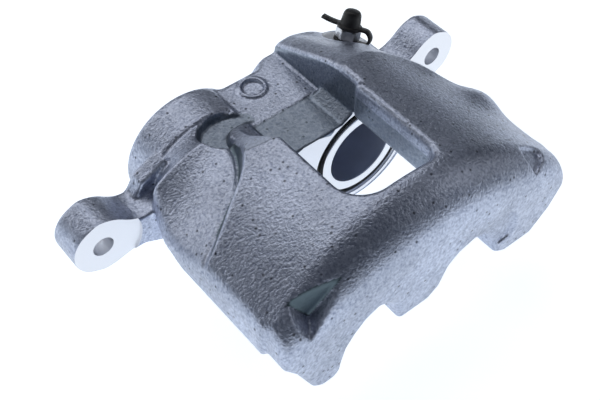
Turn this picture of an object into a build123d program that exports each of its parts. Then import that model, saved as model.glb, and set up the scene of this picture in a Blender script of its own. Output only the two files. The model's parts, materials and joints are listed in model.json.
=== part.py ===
from build123d import *
import math
import os

# Floating twin-piston brake caliper.
# Frame: X runs from the left guide-pin ear to the right one, +Y points to the vehicle
# (inboard), +Z points away from the hub. The origin is midway between the two guide-pin
# holes, on the machined outboard face of the ears. Millimetres.

# ---- guide-pin ears ----
ear_span = 200.0
ear_radius = 14.4
ear_thickness = 18.0
guide_hole_radius = 5.2
web_top_z = 5.5
web_half_height = 12.0
rib_height_at_block = 18.0

# ---- cylinder block ----
piston_spacing = 64.0
piston_axis_z = -8.0
piston_radius = 24.0
bore_clearance = 0.05
barrel_radius = 32.5
barrel_offset = 1.0
front_face_y = -22.0
barrel_back_y = 37.0
barrel_back_round = 3.0
bore_bottom_y = 21.0
channel_left_x = -15.6
plateau_z = 19.3
plateau_back_y = 32.5
front_step_y = 2.4
front_step_drop = 0.8
channel_foot_x = 18.0
channel_foot_height = 4.0
block_bottom_z = -31.0
dimple_y = 23.0
dimple_radius = 5.6
dimple_rim = 1.2
dimple_height = 1.0
cross_drilling_radius = 2.5

# ---- seal, boot and ring grooves in each bore ----
seal_groove_front_y = -9.0
seal_width = 4.0
seal_groove_depth = 3.3
boot_groove_depth_y = 9.0
boot_groove_radius = 28.8

# ---- bridge and outboard leg ----
bridge_top_radius = 130.0
bridge_crown_z = 47.4
disc_clearance_radius = 140.0
disc_clearance_crown_z = 24.0
flank_left_x = -80.0
flank_right_x = 86.0
leg_outer_y = -103.5
leg_inner_y = -82.0
front_roll_radius = 37.0
window_half_width = 22.5
channel_half_width = 24.5
window_front_y = -78.0
window_left_corner = 15.0
window_right_corner = 7.0
valley_drop = 7.5

# ---- inlet port ----
port_radius = 4.5
port_depth = 9.0
port_boss_radius = 11.0
port_boss_height = 3.0

# ---- pistons ----
piston_length = 40.5
piston_cup_radius = 18.75
piston_cup_depth = 32.0
piston_groove_width = 3.0
piston_groove_depth = 1.4
piston_groove_front = 2.5

# ---- bleed screw with its cap ----
bleed_seat = (57.7, 20.8, 19.2)
bleed_direction = (0.33, 0.10, 0.9387)
strap_direction = (-0.47, 0.88, 0.0)
bleed_hole_radius = 4.0
bleed_thread_radius = 3.93
bleed_boss_radius = 10.0
bleed_passage_radius = 1.6
bleed_spotface_radius = 9.5
hex_across_flats = 11.0
hex_height = 5.2
strap_ring_thickness = 1.5
cap_height = 9.4

piston_x = {"left": -piston_spacing / 2, "right": piston_spacing / 2}
bore_radius = piston_radius + bore_clearance
bleed_plane = Plane(origin=bleed_seat, x_dir=strap_direction, z_dir=bleed_direction)


# ---- small helpers ----

def y_prism(face, y_from, y_to):
    """Extrude an XZ outline between two Y stations."""
    return extrude(Plane.XZ.offset(-y_to) * face, y_to - y_from)


def x_prism(face, x_from, x_to):
    """Extrude a YZ outline between two X stations."""
    return extrude(Plane.YZ.offset(x_from) * face, x_to - x_from)


def z_prism(face, z_from, z_to):
    """Extrude an XY outline between two Z heights."""
    return extrude(Plane.XY.offset(z_from) * face, z_to - z_from)


def y_cylinder(radius, x, z, y_from, y_to):
    """A round bar along Y."""
    return y_prism(Pos(x, z) * Circle(radius), y_from, y_to)


def polygon(*points):
    return make_face(Polyline(*points, close=True))


def y_ring(outer, inner, x, z, y_from, y_to):
    """A flat-ended ring along Y."""
    return y_prism(Pos(x, z) * (Circle(outer) - Circle(inner)), y_from, y_to)


# ---- housing ----

def block():
    """Two barrels joined by a flat-topped web; the channel over the web stops at the left barrel."""
    width = 2 * (piston_spacing / 2 + barrel_offset)
    depth = plateau_back_y - front_face_y
    body = Pos(0, front_face_y + depth / 2, (plateau_z + block_bottom_z) / 2) * Box(
        width, depth, plateau_z - block_bottom_z)
    for x in (-width / 2, width / 2):
        barrel = y_cylinder(barrel_radius, x, piston_axis_z, front_face_y, barrel_back_y)
        back_edge = barrel.edges().filter_by(GeomType.CIRCLE).sort_by(Axis.Y)[-1]
        body = body + fillet(back_edge, barrel_back_round)
    return body


def channel_cut():
    """Flat floor between the arms; in front of the step it is lower, with a sloped foot."""
    low = plateau_z - front_step_drop
    open_z = bridge_crown_z + 10
    rear = polygon((channel_left_x, plateau_z), (channel_half_width, plateau_z),
                   (channel_half_width, open_z), (channel_left_x, open_z))
    front = polygon((channel_left_x, low), (channel_foot_x, low),
                    (channel_half_width, low + channel_foot_height),
                    (channel_half_width, open_z), (channel_left_x, open_z))
    return y_prism(rear, front_step_y, barrel_back_y + 20) + y_prism(front, front_face_y, front_step_y)


def ears():
    """Both guide-pin ears with the webs that carry them."""
    both = None
    for side in (-1, 1):
        x = side * ear_span / 2
        boss = y_cylinder(ear_radius, x, 0, 0, ear_thickness)
        web = y_prism(polygon((x, web_half_height), (side * 88, web_top_z),
                              (side * 72, web_top_z), (side * 54, web_half_height + 4),
                              (side * 48, -web_half_height - 10), (side * 66, -web_half_height - 7),
                              (x, -web_half_height)), 0.6, ear_thickness - 0.5)
        rib = y_prism(polygon((side * 60, rib_height_at_block), (side * 66, 15), (side * 71, 12),
                              (side * 77, web_top_z - 1), (side * 60, web_top_z - 1)),
                      ear_thickness - 4, ear_thickness + 3)
        both = boss + web + rib if both is None else both + boss + web + rib
    return both


def arm_side(rear_points, x_from, x_to):
    """Side view of one half of the bridge, from the block to the rolled front edge."""
    roll_start = leg_outer_y + front_roll_radius
    roll_end_z = bridge_crown_z - front_roll_radius
    middle = front_roll_radius * (1 - math.sqrt(0.5))
    crown = (roll_start, bridge_crown_z)
    top = Spline(*rear_points, tangents=[(-1, 0.5), (-1, 0)])
    flat = Line(rear_points[-1], crown)
    roll = ThreePointArc(crown, (leg_outer_y + middle, bridge_crown_z - middle),
                         (leg_outer_y, roll_end_z))
    rest = Polyline((leg_outer_y, roll_end_z), (leg_outer_y, -60), (rear_points[0][0], -60),
                    rear_points[0])
    return x_prism(make_face([top, flat, roll, rest]), x_from, x_to)


def crown_bar(drop, y_from, y_to):
    """The big cylinder whose upper side is the top of the bridge."""
    return y_cylinder(bridge_top_radius, 0, bridge_crown_z - bridge_top_radius - drop, y_from, y_to)


def flare(side, *profile):
    """Solid of revolution round a barrel's axis, from (radius, Y) stations."""
    first, last = profile[0], profile[-1]
    half = polygon((0, first[1]), *profile, (0, last[1]))
    return Pos(side * (piston_spacing / 2 + barrel_offset), 0, piston_axis_z) * revolve(half, Axis.Y)


def bridge_and_leg():
    """Bridge over the disc and the outboard leg, before windows and gaps are cut."""
    left_rear = [(20, 23), (5, 28), (-8, 30), (-18, 36), (-29, 43), (-44, bridge_crown_z)]
    right_rear = [(37, 24), (24, 30), (14, 34.5), (0, 40), (-14, 44), (-40, bridge_crown_z)]
    body = (arm_side(left_rear, flank_left_x - 5, 0) & flare(
        -1, (32.5, 40), (32.5, 17.5), (37.5, 2), (44, -8), (90, -30), (90, -110)))
    body = body + (arm_side(right_rear, 0, flank_right_x + 5) & flare(
        1, (32.5, 40), (38, 24), (48, 0), (54, -16), (90, -40), (90, -110)))
    body = body & crown_bar(0, -120, 60)
    plan = make_face(FilletPolyline(
        (-60, 38), (-66, 12), (-72, -3), (flank_left_x, -17), (flank_left_x, -92),
        (-70, leg_outer_y), (75, leg_outer_y), (flank_right_x, -92), (flank_right_x, -64),
        (flank_right_x + 3, -52), (flank_right_x + 2, -42), (76, -27), (68, -8), (66, 10),
        (62, 38), radius=4, close=True))
    body = body & z_prism(plan, -60, 60)
    valley = z_prism(polygon((-15, 40), (-20, 2), (-30, -2), (-31, -8), (-36, -18), (-42, -26),
                             (-54, -34), (-67, -42), (-95, -58), (-95, 40)), -60, 60)
    floor = crown_bar(valley_drop, -120, 60) & flare(
        -1, (32.5, 40), (32.5, 17.5), (37.5, 2), (37.5, -4), (36, -20), (60, -60))
    body = body - (valley - floor - arm_slope())
    under = y_cylinder(disc_clearance_radius, 0, disc_clearance_crown_z - disc_clearance_radius,
                       leg_inner_y, 60)
    return body - under - leg_trim()


def arm_slope():
    """Gentle slope that carries the valley from the left barrel out to the left flank."""
    return y_prism(polygon((flank_left_x - 5, -60), (flank_left_x - 5, 8), (flank_left_x, 12),
                           (-66, 21), (-52, 26), (-35, 28), (-15, 26), (0, 20), (0, -60)), -110, 4)


def leg_trim():
    """Everything below and between the fingers of the outboard leg."""
    outline = polygon((flank_left_x - 5, 30), (flank_left_x - 5, 8), (flank_left_x, 3), (-71, -4),
                      (-63, -24), (-58, -28), (-52, -28), (-47, -22), (-16, -17.5), (4, -17.5),
                      (8, -14), (46, -20), (50, -23), (70, -23), (79, -13), (flank_right_x, 0),
                      (flank_right_x + 5, 30), (0, 60))
    trim = y_prism(Rectangle(260, 240) - outline, -120, leg_inner_y + 1)
    left_gap = make_face(FilletPolyline((-50, -60), (-49.5, -18), (-43, -2), (-30, 8), (-19, 0),
                                        (-15, -20), (-15, -60), radius=4, close=True))
    right_gap = make_face(FilletPolyline((6, -60), (8, -7), (16, 5), (28, 8), (39, 1),
                                         (45, -14), (46, -60), radius=4, close=True))
    return trim + y_prism(left_gap + right_gap, -120, leg_inner_y + 1)


def window_cut():
    """The inspection window through the bridge, open towards the channel behind it."""
    length = 60 - window_front_y
    middle = window_front_y + length / 2
    plan = Pos(0, middle) * RectangleRounded(2 * window_half_width, length, window_left_corner)
    plan += Pos(window_half_width / 2, middle) * RectangleRounded(
        window_half_width, length, window_right_corner)
    return z_prism(plan, -10, 70)


def bore_cut(x):
    """One piston bore with its seal groove and boot groove."""
    z = piston_axis_z
    cut = y_cylinder(bore_radius, x, z, front_face_y - 1, bore_bottom_y)
    cut += y_cylinder(piston_radius + seal_groove_depth, x, z, seal_groove_front_y,
                      seal_groove_front_y + seal_width)
    cut += y_cylinder(boot_groove_radius, x, z, front_face_y - 1, front_face_y + boot_groove_depth_y)
    return cut


def bleed_boss():
    return bleed_plane * Pos(0, 0, -8.9) * Cylinder(bleed_boss_radius, 16)


def bleed_cut():
    """Tapped hole, conical seat and fluid passage of the bleed screw."""
    hole = Pos(0, 0, -5.5) * Cylinder(bleed_hole_radius, 13)
    passage = Pos(0, 0, -13.5) * Cylinder(bleed_passage_radius, 7)
    seat = Pos(0, 0, -12.9) * Cone(bleed_passage_radius, bleed_hole_radius, 1.8)
    spotface = Pos(0, 0, 14.5) * Cylinder(bleed_spotface_radius, 30)
    strap_relief = Pos(-7, 0, 14.5) * Box(14, 8, 30)
    return bleed_plane * (hole + passage + seat + spotface + strap_relief)


def caliper_housing():
    body = block() + (bridge_and_leg() - window_cut()) + ears()
    port_x = piston_x["left"]
    body = body + y_cylinder(port_boss_radius, port_x, piston_axis_z, barrel_back_y - 4,
                             barrel_back_y + port_boss_height)
    body = body + bleed_boss()
    body = body - channel_cut()
    dimple = Circle(dimple_radius + dimple_rim) - Circle(dimple_radius)
    body = body + Pos(0, dimple_y) * z_prism(dimple, plateau_z - 1, plateau_z + dimple_height)
    for x in piston_x.values():
        body = body - bore_cut(x)
    body = body - y_cylinder(port_radius, port_x, piston_axis_z,
                             barrel_back_y + port_boss_height - port_depth, 60)
    body = body - y_cylinder(cross_drilling_radius, port_x, piston_axis_z, bore_bottom_y - 1, 60)
    body = body - Pos(0, bore_bottom_y - cross_drilling_radius, piston_axis_z) * Rot(0, 90, 0) * (
        Cylinder(cross_drilling_radius, piston_spacing / 2))
    body = body - bleed_cut()
    for side in (-1, 1):
        body = body - y_cylinder(guide_hole_radius, side * ear_span / 2, 0, -5, 40)
    return body


# ---- parts inside each bore ----

def piston(x):
    """A deep-drawn steel cup, open towards the brake pad, with the boot groove near its rim."""
    z = piston_axis_z
    back_y = front_face_y + piston_length
    cup = y_cylinder(piston_radius, x, z, front_face_y, back_y)
    edges = cup.edges().filter_by(GeomType.CIRCLE).sort_by(Axis.Y)
    cup = chamfer(edges[-1], 1.5)
    cup = cup - y_cylinder(piston_cup_radius, x, z, front_face_y - 1, front_face_y + piston_cup_depth)
    groove_y = front_face_y + piston_groove_front
    return cup - y_ring(piston_radius + 1, piston_radius - piston_groove_depth, x, z, groove_y,
                        groove_y + piston_groove_width)


def piston_seal(x):
    """Square-section ring that seals the bore and pulls the piston back."""
    return y_ring(piston_radius + seal_groove_depth - 0.05, piston_radius + 0.08, x, piston_axis_z,
                  seal_groove_front_y + 0.1, seal_groove_front_y + seal_width - 0.1)


def dust_boot(x):
    """Bellows: outer bead deep in the boot groove, one fold, inner lip in the piston groove."""
    depth = front_face_y + boot_groove_depth_y
    groove_y = front_face_y + piston_groove_front
    outer = y_ring(boot_groove_radius - 0.15, boot_groove_radius - 2.4, x, piston_axis_z,
                   depth - 3.2, depth - 0.2)
    fold = y_ring(boot_groove_radius - 1.2, boot_groove_radius - 2.4, x, piston_axis_z,
                  groove_y + 0.3, depth - 3.2)
    lip = y_ring(boot_groove_radius - 2.4, piston_radius - piston_groove_depth + 0.2, x,
                 piston_axis_z, groove_y + 0.3, groove_y + piston_groove_width - 0.3)
    bridge = y_ring(boot_groove_radius - 1.2, boot_groove_radius - 2.6, x, piston_axis_z,
                    groove_y + 0.3, groove_y + piston_groove_width - 0.3)
    return outer + fold + lip + bridge


def boot_retaining_ring(x):
    """Pressed steel ring that holds the boot in the mouth of the bore."""
    return y_ring(boot_groove_radius - 0.02, boot_groove_radius - 1.1, x, piston_axis_z,
                  front_face_y + 0.6, front_face_y + 2.0)


# ---- bleed screw, cap and strap, built along the screw's own axis ----

def bleed_screw():
    thread = Pos(0, 0, -5.4) * Cylinder(bleed_thread_radius, 10.8)
    tip = Pos(0, 0, -11.6) * Cone(bleed_passage_radius + 0.4, bleed_thread_radius, 1.6)
    hexagon = extrude(Pos(0, 0, 1.8) * RegularPolygon(hex_across_flats / 2, 6, major_radius=False),
                      hex_height)
    hexagon = hexagon & Pos(0, 0, 4.4) * Cylinder(hex_across_flats * 0.555, hex_height + 1)
    neck = Pos(0, 0, 0.9) * Cylinder(bleed_thread_radius, 1.8)
    nipple = Pos(0, 0, 9.5) * Cylinder(3.2, 5.2)
    barb = Pos(0, 0, 13.1) * Cone(4.0, 2.8, 2.2)
    drilling = Pos(0, 0, -8) * Rot(0, 90, 0) * Cylinder(1.2, 9)
    channel = Pos(0, 0, 4) * Cylinder(1.4, 24)
    screw = thread + tip + hexagon + neck + nipple + barb
    return bleed_plane * (screw - channel - drilling)


def bleed_cap():
    """Moulded rubber cap: a flange resting on the hexagon and a domed body over the nipple."""
    base = 1.8 + hex_height + 0.3
    flange = Pos(0, 0, base + 0.9) * Cylinder(6.4, 1.8)
    dome = Pos(0, 0, base + 1.8 + (cap_height - 1.8) / 2) * Cone(5.4, 4.7, cap_height - 1.8)
    dome = fillet(dome.edges().filter_by(GeomType.CIRCLE).sort_by(Axis.Z)[-1], 1.8)
    tail = Pos(9.5, 0, base + 0.9) * Box(10.5, 4.6, 1.5)
    hollow = Pos(0, 0, base + 3.7) * Cylinder(4.15, 8.4)
    return bleed_plane * (flange + dome + tail - hollow)


def bleed_cap_strap():
    """Ring around the screw's neck and the flat loop that ties the cap to it."""
    base = 1.8 + hex_height + 0.3
    ring = Pos(0, 0, 0.1 + strap_ring_thickness / 2) * (
        Cylinder(6.6, strap_ring_thickness) - Cylinder(bleed_thread_radius + 0.08, 4))
    height = base + 1.6
    centre = Pos(-8.6, 0, height / 2)
    loop = centre * Rot(90, 0, 0) * (Cylinder(height / 2, 4.6) - Cylinder(height / 2 - 1.4, 5))
    loop = loop & Pos(-12.6, 0, height / 2) * Box(8, 6, 20)
    low = Pos(-7.3, 0, 0.7 + 0.1) * Box(2.8, 4.6, 1.4)
    high = Pos(-7.8, 0, height - 0.7) * Box(1.8, 4.6, 1.4)
    return bleed_plane * (ring + loop + low + high)


# ---- write every node ----

def nodes():
    made = {"caliper_housing": caliper_housing()}
    for side, x in piston_x.items():
        made["piston_" + side] = piston(x)
        made["piston_seal_" + side] = piston_seal(x)
        made["dust_boot_" + side] = dust_boot(x)
        made["boot_retaining_ring_" + side] = boot_retaining_ring(x)
    made["bleed_screw"] = bleed_screw()
    made["bleed_cap"] = bleed_cap()
    made["bleed_cap_strap"] = bleed_cap_strap()
    return made


os.makedirs("parts", exist_ok=True)
for name, shape in nodes().items():
    export_step(shape, "parts/" + name + ".step")
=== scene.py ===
"""Brake caliper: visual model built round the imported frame, laid out as an add-on."""
import json
import math

import bmesh
import bpy
import numpy as np
import openvdb
from bpy.props import FloatProperty, FloatVectorProperty, IntProperty, PointerProperty
from mathutils import Matrix, Vector


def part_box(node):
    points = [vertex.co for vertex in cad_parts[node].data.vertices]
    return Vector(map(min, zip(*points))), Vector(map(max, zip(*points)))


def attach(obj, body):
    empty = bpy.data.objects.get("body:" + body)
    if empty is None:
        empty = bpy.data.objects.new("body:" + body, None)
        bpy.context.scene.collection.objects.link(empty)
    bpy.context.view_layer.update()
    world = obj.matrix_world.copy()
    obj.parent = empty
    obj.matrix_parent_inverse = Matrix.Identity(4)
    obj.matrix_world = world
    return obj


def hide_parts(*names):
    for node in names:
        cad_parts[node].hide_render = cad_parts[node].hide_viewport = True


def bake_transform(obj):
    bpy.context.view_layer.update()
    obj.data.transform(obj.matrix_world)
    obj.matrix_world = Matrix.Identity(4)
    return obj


bl_info = {
    "name": "Brake Caliper",
    "version": (1, 0, 0),
    "blender": (4, 5, 0),
    "location": "View3D > Sidebar > Caliper",
    "description": "Builds a cast twin-piston brake caliper round its engineering frame",
    "category": "Add Mesh",
}

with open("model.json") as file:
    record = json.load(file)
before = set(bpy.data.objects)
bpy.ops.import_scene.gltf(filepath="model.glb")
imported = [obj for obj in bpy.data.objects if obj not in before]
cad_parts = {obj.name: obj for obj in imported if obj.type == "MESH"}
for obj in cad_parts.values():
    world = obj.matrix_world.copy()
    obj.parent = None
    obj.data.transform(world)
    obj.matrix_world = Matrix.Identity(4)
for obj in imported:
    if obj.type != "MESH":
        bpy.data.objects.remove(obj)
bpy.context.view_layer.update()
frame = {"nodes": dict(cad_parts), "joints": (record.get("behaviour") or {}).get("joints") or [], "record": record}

MM = 0.001


# ---- places read from the frame, in millimetres ----

def node_box(name):
    """Lowest and highest corner of a node in millimetres."""
    low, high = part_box(name)
    return np.array(low) / MM, np.array(high) / MM


def mount(name):
    """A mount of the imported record."""
    return next(m for m in frame["record"]["mounts"] if m["name"] == name)


def joint(name):
    """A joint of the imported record."""
    return next(j for j in frame["joints"] if j["name"] == name)


housing_low, housing_high = node_box("caliper_housing")
piston_boxes = {side: node_box("piston_" + side) for side in ("left", "right")}
piston_centre = {side: (low + high) / 2 for side, (low, high) in piston_boxes.items()}
piston_radius = (piston_boxes["left"][1][0] - piston_boxes["left"][0][0]) / 2
piston_z = piston_centre["left"][2]
front_y = piston_boxes["left"][0][1]
piston_back_y = piston_boxes["left"][1][1]
seal_low, seal_high = node_box("piston_seal_left")
boot_low, boot_high = node_box("dust_boot_left")
ring_low, ring_high = node_box("boot_retaining_ring_left")
boot_groove_radius = (ring_high[0] - ring_low[0]) / 2 + 0.02
boot_groove_end_y = boot_high[1] + 0.2
ear_x = mount("guide_pin_holes")["dims"]["spacing_x_mm"] / 2
ear_hole_radius = mount("guide_pin_holes")["dims"]["hole_r_mm"]
ear_radius = housing_high[0] - ear_x
ear_thickness = mount("left_guide_pin_bore")["dims"]["length_mm"]
port_centre = np.array(mount("hose_port")["pos_m"]) / MM
port_radius = mount("hose_port")["dims"]["r_mm"]
port_length = mount("hose_port")["dims"]["length_mm"]
port_face_y = housing_high[1]
leg_outer_y = housing_low[1]
leg_inner_y = mount("outboard_pad_seat_middle")["pos_m"][1] / MM
crown_z = housing_high[2]
bleed_seat = np.array(joint("bleed_screw_turn")["pos_m"]) / MM
bleed_axis = np.array(joint("bleed_screw_turn")["axis"])

# ---- shape of the casting that the frame's boxes don't give, in millimetres ----

# bridge and leg
CROWN_RADIUS = 130.0
DISC_RADIUS = 144.0
DISC_CROWN_Z = 24.0
BORE_COVER_DEPTH = 16.0
FRONT_ROLL_STATIONS = ([0, 30, 55, 78, 90], [25, 24, 20, 13, 11])
FLANK_LEFT_X = -80.0
FLANK_RIGHT_X = 87.0
WINDOW_HALF_WIDTH = 22.5
WINDOW_FRONT_Y = -78.0

# cylinder block, with the channel between the arms
BARREL_RADIUS = 32.5
BARREL_OFFSET = 1.0
BARREL_BACK_Y = port_face_y - 3.0
WEB_BACK_Y = 32.5
WEB_BOTTOM_Z = -31.0
PLATEAU_Z = 19.3
CHANNEL_LEFT_X = -15.6
CHANNEL_RIGHT_X = 24.5
STEP_Y = 2.4
ROUND_MARK = (0.5, 23.0)
PORT_BOSS_RADIUS = 11.0
BLEED_BOSS_RADIUS = 13.0
BLEED_BOSS_HEIGHT = 18.0

# machined faces
MILLING_DEPTH = 0.35
MILLED_RADIUS = 31.6
MIDDLE_MILLED_RADIUS = 28.4
SPOTFACE_RADIUS = 19.5
BLEED_SPOTFACE_RADIUS = 12.6
BLEED_HOLE_RADIUS = 4.0

# S-shaped ridge, cove and the crease of the left arm's facet
CREASE_Y = 16.2
RIDGE_PATH = [(-8, 5.5), (-22, 5.5), (-28.5, 4), (-31.5, 0.5), (-32.5, -6), (-34, -13), (-38, -20.5),
              (-43, -27), (-48.5, -31.5), (-55, -35.5), (-66, -42.5), (-78, -49.5), (-96, -60)]
COVE_OUTLINE = [(-13, 6), (-13, 10), (-18, 13), (-23, 15), (-30, 15.2), (-37, 13), (-40.5, 9),
                (-41, 4), (-38.5, -1), (-35.5, -4), (-32, -4), (-31, 1), (-28, 4.6), (-22, 6)]
COVE_FLOOR_Z = 18.7

# recesses in the outboard leg
PIT_BOTTOM = (-60.5, -93.2, 17.8)
PIT_CORNERS = [(-67.8, -88.2, 27.9), (-45.1, -95.6, 34.2), (-65.9, -101.6, 15.1)]
DROP_OUTLINE = [(63.5, -89), (70, -89.5), (74.5, -91.6), (72.5, -96), (64, -99.8), (61.8, -94)]
ROUND_RECESS_OUTLINE = [(33, 6.5), (46, -13), (53, -12), (55.5, -6), (54.5, 1), (50, 7),
                        (43, 10)]

# how much painted shade, with smoother core skin, each kind of face has, from 0 to 1
CORE_FACE_SHADE = 0.55
RIDGE_FOLD_SHADE = 0.9
PIT_WALL_SHADE = 1.0

# ---- small pieces, in millimetres ----

HEX_ACROSS_FLATS = 11.0
STRAP_DIRECTION = (-0.47, 0.88, 0.0)
STRAP_BEND_RADIUS = 9.0
PISTON_CUP_RADIUS = 18.75
PISTON_CUP_DEPTH = 32.0
PISTON_GROOVE = (2.5, 5.5, 1.4)  # start, end and depth
BOOT_HALF_THICKNESS = 0.22

# ---- stage: angles in degrees, places and sizes in metres, power in watts ----

CAMERA_AIM = (0.01215, 0.0, -0.05143)
CAMERA_DISTANCE = 0.52795
CAMERA_ANGLES = (-39.89, 49.99, 1.0)
FOCAL_LENGTH_MM = 60.318
SENSOR_WIDTH_MM = 36.0
FLOOR_HALF_SIZE = 3.0
FLOOR_GAP = 0.0005
# place, width, depth and power
LIGHTS = {
    "back_softbox": ((0.18, 0.52, 0.91), 1.15, 0.8, 3.3),
    "left_softbox": ((-0.42, 0.84, 0.44), 0.7, 0.45, 1.4),
    "right_fill": ((0.72, -0.42, 0.55), 0.5, 0.5, 0.5),
}


# ---- signed distance helpers: every field is negative inside the metal ----

def join(a, b, radius):
    """Union with a concave fillet."""
    corner = np.sqrt(np.maximum(radius - a, 0) ** 2 + np.maximum(radius - b, 0) ** 2)
    return np.maximum(radius, np.minimum(a, b)) - corner


def meet(a, b, radius):
    """Intersection with a rounded edge."""
    corner = np.sqrt(np.maximum(radius + a, 0) ** 2 + np.maximum(radius + b, 0) ** 2)
    return np.minimum(-radius, np.maximum(a, b)) + corner


def remove(a, b, radius):
    """Body a without body b, with a rounded edge."""
    return meet(a, -b, radius)


def outline_distance(u, v, points):
    """Signed distance from positions to a closed outline."""
    nearest = np.full(np.broadcast(u, v).shape, 1e9)
    inside = np.zeros(nearest.shape, bool)
    for (ax, ay), (bx, by) in zip(points, points[1:] + points[:1]):
        ex, ey = bx - ax, by - ay
        along = np.clip(((u - ax) * ex + (v - ay) * ey) / (ex * ex + ey * ey), 0, 1)
        nearest = np.minimum(nearest, (u - ax - ex * along) ** 2 + (v - ay - ey * along) ** 2)
        if ay != by:
            inside ^= ((ay > v) != (by > v)) & (u < ex * (v - ay) / (by - ay) + ax)
    return np.where(inside, -1, 1) * np.sqrt(nearest)


def path_side(u, v, points):
    """Distance from a path, positive on its left-hand side."""
    nearest = np.full(np.broadcast(u, v).shape, 1e9)
    side = np.ones(nearest.shape)
    for (ax, ay), (bx, by) in zip(points[:-1], points[1:]):
        ex, ey = bx - ax, by - ay
        along = np.clip(((u - ax) * ex + (v - ay) * ey) / (ex * ex + ey * ey), 0, 1)
        gap = (u - ax - ex * along) ** 2 + (v - ay - ey * along) ** 2
        turn = np.sign(ex * (v - ay) - ey * (u - ax))
        side = np.where(gap < nearest, turn, side)
        nearest = np.minimum(nearest, gap)
    return side * np.sqrt(nearest)


def ease(t):
    """Smooth step from 0 to 1."""
    t = np.clip(t, 0, 1)
    return t * t * (3 - 2 * t)


def soften(field, times):
    """Rounds every edge of a field a little, as a sand mould does."""
    for _ in range(times):
        for axis in range(3):
            front = np.roll(field, 1, axis)
            back = np.roll(field, -1, axis)
            field = (front + 2 * field + back) / 4
    return field


# ---- the casting ----

def crown_height(x):
    """Height of the bridge's main arc."""
    return crown_z - CROWN_RADIUS + np.sqrt(np.maximum(CROWN_RADIUS ** 2 - x ** 2, 1.0))


def right_arm_height(x, y):
    """Right arm: a shoulder that flares from the right barrel up to the crown."""
    stations = [-60, -40, -26, -14, 0, 14, 24, 33, 38, 46]
    inner = np.interp(y, stations, [60, 50, 46.4, 44, 40, 34.5, 30.5, 26.5, 24.5, 22])
    centre = np.interp(y, [0, 14, 38], [26.5, 31, 33])
    radius = inner - piston_z
    dome = piston_z + np.sqrt(np.maximum(radius ** 2 - (x - centre) ** 2, 9.0))
    hump = 5.0 * np.exp(-((x - 84) / 12) ** 2 - ((y + 50) / 11) ** 2)
    hump = hump + 2.6 * np.exp(-((x - 74) / 10) ** 2 - ((y + 20) / 11) ** 2)
    fall = 2.4 * ease((x - 33) / 12) * ease((y - 4) / 12)
    return np.minimum(dome, crown_height(x)) + hump - fall


def left_arm_height(x, y):
    """Left arm: raised outboard of an S-shaped ridge, with a shoulder, valley and cove behind it."""
    stations = [-60, -44, -34, -28, -17, -7, 4, 60]
    inner = np.interp(y, stations, [60, 50, 46.5, 44, 35.5, 27.5, 22.6, 18])
    raised = np.minimum(inner, crown_height(x))
    across = x - piston_centre["left"][0] + 2
    edge = 28.0 - 0.0085 * across ** 2
    ahead = np.maximum(2 - y, 0)
    shoulder = edge - 0.25 * ahead + 0.0085 * ahead ** 2
    drum = drum_top(x, -BARREL_OFFSET + piston_centre["left"][0], BARREL_RADIUS)
    facet = np.minimum((y - 2) / (CREASE_Y - 2), 1.6)
    shoulder = np.where(y > 2, edge + (drum - 1.6 - edge) * facet, shoulder)
    side = path_side(x, y, RIDGE_PATH)
    groove = 1.5 * np.exp(-((side + 1.7) / 1.3) ** 2) * ease((8 - y) / 4)
    return shoulder + (raised - shoulder) * ease(side / 2.6 + 0.5) - groove


def drum_top(x, centre, radius):
    """Height of a barrel's upper side."""
    return piston_z + np.sqrt(np.maximum(radius ** 2 - (x - centre) ** 2, 0.25))


def arm_height(x, y):
    """Height of the whole upper skin."""
    to_right = ease(x / 8 + 0.5)
    return left_arm_height(x, y) * (1 - to_right) + right_arm_height(x, y) * to_right


def upper_field(x, y, z, step):
    """Distance below the upper skin, with the big roll of the front edge."""
    height = arm_height(x, y)
    across, along = np.gradient(height[:, :, 0], step)
    slope = np.sqrt(1 + np.minimum(across ** 2 + along ** 2, 4))[:, :, None]
    skin = (z - height) / slope
    roll = np.interp(np.abs(x), *FRONT_ROLL_STATIONS)
    return meet(skin, leg_outer_y - y, roll)


def plan_outline():
    """Outline of the bridge seen from above."""
    return [(-60, 24), (-66, 12), (-71, 3), (-75.5, -6), (-79, -17), (FLANK_LEFT_X - 0.5, -32),
            (FLANK_LEFT_X, -92), (-71, leg_outer_y), (80, leg_outer_y), (85.5, -99),
            (FLANK_RIGHT_X, -92), (FLANK_RIGHT_X, -64), (FLANK_RIGHT_X + 1.5, -54),
            (FLANK_RIGHT_X, -43), (77, -28), (69, -9), (66, 8), (64, 38), (-40, 38)]


def leg_outline():
    """Outline of the outboard leg seen from its face, without the two gaps."""
    return [(FLANK_LEFT_X + 1, 60), (FLANK_LEFT_X + 1, 5), (-72, -5.5), (-63.5, -24), (-59, -27.5),
            (-52, -27.5), (-47, -23), (-17, -17.5), (2, -17.5), (8, -13), (46, -20),
            (52, -23.5), (70, -23.5), (81, -12), (FLANK_RIGHT_X, 0), (FLANK_RIGHT_X + 1, 60)]


def gap_outlines():
    """Outlines of the two gaps between the fingers."""
    return [[(-48.5, -60), (-48, -20), (-45.5, -10), (-41, -3.5), (-35.5, 1.8), (-29, 4.5),
             (-23, 2), (-18, -5), (-16, -14), (-15.5, -60)],
            [(8, -60), (9.5, -10), (13, -1.5), (18.5, 3), (27, 5.5), (35, 3), (41, -4),
             (44.5, -12), (46, -60)]]


def leg_field(x, y, z):
    """Outboard leg with its three fingers, before its top is shaped."""
    slab = np.maximum(leg_outer_y - y, y - leg_inner_y)
    face = outline_distance(x, z, leg_outline())
    for gap in gap_outlines():
        face = remove(face, outline_distance(x, z, gap), 2.5)
    return meet(slab, face, 3.0)


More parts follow.
